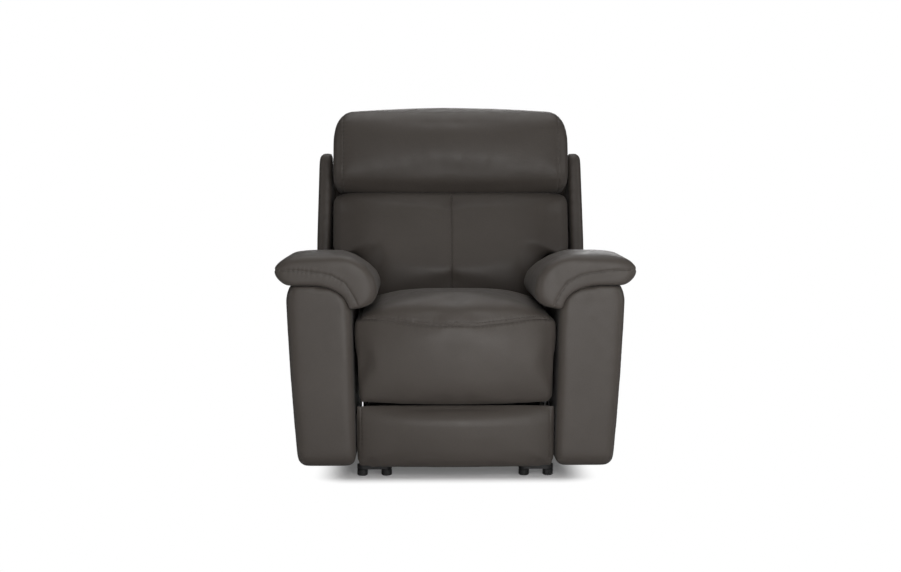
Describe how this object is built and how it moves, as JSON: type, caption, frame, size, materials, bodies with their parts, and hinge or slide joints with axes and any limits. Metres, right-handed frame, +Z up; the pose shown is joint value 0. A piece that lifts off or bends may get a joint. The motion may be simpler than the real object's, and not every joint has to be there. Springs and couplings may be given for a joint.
{
  "type": "power recliner chair",
  "caption": "Upholstered power recliner chair with padded arms, a parallelogram footrest, a reclining back and a tilting headrest.",
  "frame": {"origin": "on the floor under the middle of the chair's bounding box", "axes": "+Z up, the seat faces -Y, +X to the right as seen from the front"},
  "size_m": [1.016, 0.9639, 1.0713],
  "materials": {
    "leather": "smooth dark grey-brown leather, matte with a soft sheen",
    "black_steel": "black powder coat",
    "zinc_steel": "zinc plated pressings and wire",
    "black_plastic": "moulded black plastic",
    "board": "plain plywood"
  },
  "bodies": {
    "base": {"switch_panel": "black_plastic", "foot_plate_front_left": "black_steel", "glide_front_inner_left": "black_plastic", "glide_front_outer_left": "black_plastic", "foot_plate_rear_left": "black_steel", "glide_rear_inner_left": "black_plastic", "glide_rear_outer_left": "black_plastic", "rail_left": "black_steel", "side_plate_left": "black_steel", "arm_pad_left": "leather", "foot_plate_front_right": "black_steel", "glide_front_inner_right": "black_plastic", "glide_front_outer_right": "black_plastic", "foot_plate_rear_right": "black_steel", "glide_rear_inner_right": "black_plastic", "glide_rear_outer_right": "black_plastic", "rail_right": "black_steel", "side_plate_right": "black_steel", "arm_pad_right": "leather", "arm_left": "leather", "arm_right": "leather", "recline_cross_tube": "black_steel", "footrest_cross_tube": "black_steel", "footrest_drive": "black_plastic", "recline_drive": "black_plastic", "seat_frame": "black_steel", "seat_springs": "zinc_steel", "seat_front_panel": "leather", "seat_cushion": "leather", "power_inlet": "black_plastic"},
    "crank": {"drive_tube": "black_steel", "front_crank_left": "zinc_steel", "front_crank_right": "zinc_steel"},
    "rear_cranks": {"rear_crank_left": "zinc_steel", "rear_crank_right": "zinc_steel"},
    "lower_bars": {"lower_bar_left": "zinc_steel", "lower_bar_right": "zinc_steel"},
    "upper_bars": {"upper_bar_left": "zinc_steel", "upper_bar_right": "zinc_steel"},
    "footrest": {"footrest_bracket_left": "zinc_steel", "footrest_bracket_right": "zinc_steel", "footrest_board": "board", "footrest_pad": "leather"},
    "footrest_rod": {"footrest_rod": "zinc_steel"},
    "back": {"back_bracket_left": "black_steel", "back_bracket_right": "black_steel", "recline_tube": "black_steel", "back_frame": "black_steel", "back_shell": "leather", "back_cushion": "leather", "headrest_arm_left": "zinc_steel", "headrest_arm_right": "zinc_steel"},
    "recline_rod": {"recline_rod": "zinc_steel"},
    "headrest": {"headrest_tube": "zinc_steel", "headrest_cushion": "leather"},
    "button_1": {"button_1": "zinc_steel"},
    "button_2": {"button_2": "zinc_steel"},
    "button_3": {"button_3": "zinc_steel"},
    "button_4": {"button_4": "zinc_steel"}
  },
  "joints": [
    {"name": "footrest_extend", "type": "hinge", "parent": "base", "child": "crank", "pos_m": [0, -0.275, 0.285], "axis": [-1, 0, 0], "range_deg": [0, 91]},
    {"name": "rear_crank_swing", "type": "hinge", "parent": "base", "child": "rear_cranks", "pos_m": [0, -0.23, 0.281], "axis": [-1, 0, 0], "range_deg": [0, 91]},
    {"name": "lower_bar_swing", "type": "hinge", "parent": "crank", "child": "lower_bars", "pos_m": [0, -0.15272, 0.1412], "axis": [-1, 0, 0], "range_deg": [-91, 0]},
    {"name": "upper_bar_swing", "type": "hinge", "parent": "crank", "child": "upper_bars", "pos_m": [0, -0.13853, 0.10611], "axis": [-1, 0, 0], "range_deg": [-91, 0]},
    {"name": "footrest_turn", "type": "hinge", "parent": "lower_bars", "child": "footrest", "pos_m": [0, -0.33448, 0.23381], "axis": [-1, 0, 0], "range_deg": [0, 91]},
    {"name": "footrest_rod_slide", "type": "slide", "parent": "base", "child": "footrest_rod", "axis": [0, -1, 0], "range_m": [0, 0.06421]},
    {"name": "back_recline", "type": "hinge", "parent": "base", "child": "back", "pos_m": [0, 0.212, 0.3], "axis": [-1, 0, 0], "range_deg": [0, 32]},
    {"name": "recline_rod_slide", "type": "slide", "parent": "base", "child": "recline_rod", "axis": [0, -1, 0], "range_m": [0, 0.08271]},
    {"name": "headrest_tilt", "type": "hinge", "parent": "back", "child": "headrest", "pos_m": [0, 0.24485, 0.8778], "axis": [1, 0, 0], "range_deg": [0, 30]},
    {"name": "button_1_press", "type": "slide", "parent": "base", "child": "button_1", "axis": [0.998, 0, 0.063], "range_m": [0, 0.0015], "stiffness_N_per_m": 700},
    {"name": "button_2_press", "type": "slide", "parent": "base", "child": "button_2", "axis": [0.998, 0, 0.063], "range_m": [0, 0.0015], "stiffness_N_per_m": 700},
    {"name": "button_3_press", "type": "slide", "parent": "base", "child": "button_3", "axis": [0.998, 0, 0.063], "range_m": [0, 0.0015], "stiffness_N_per_m": 700},
    {"name": "button_4_press", "type": "slide", "parent": "base", "child": "button_4", "axis": [0.998, 0, 0.063], "range_m": [0, 0.0015], "stiffness_N_per_m": 700}
  ],
  "couplings": [
    {"joint": "rear_crank_swing", "follows": "footrest_extend", "ratio": 1},
    {"joint": "lower_bar_swing", "follows": "footrest_extend", "ratio": -1},
    {"joint": "upper_bar_swing", "follows": "footrest_extend", "ratio": -1},
    {"joint": "footrest_turn", "follows": "footrest_extend", "ratio": 1},
    {"joint": "footrest_rod_slide", "follows": "footrest_extend", "m_per_rad": 0.040417},
    {"joint": "recline_rod_slide", "follows": "back_recline", "m_per_rad": 0.14806}
  ]
}
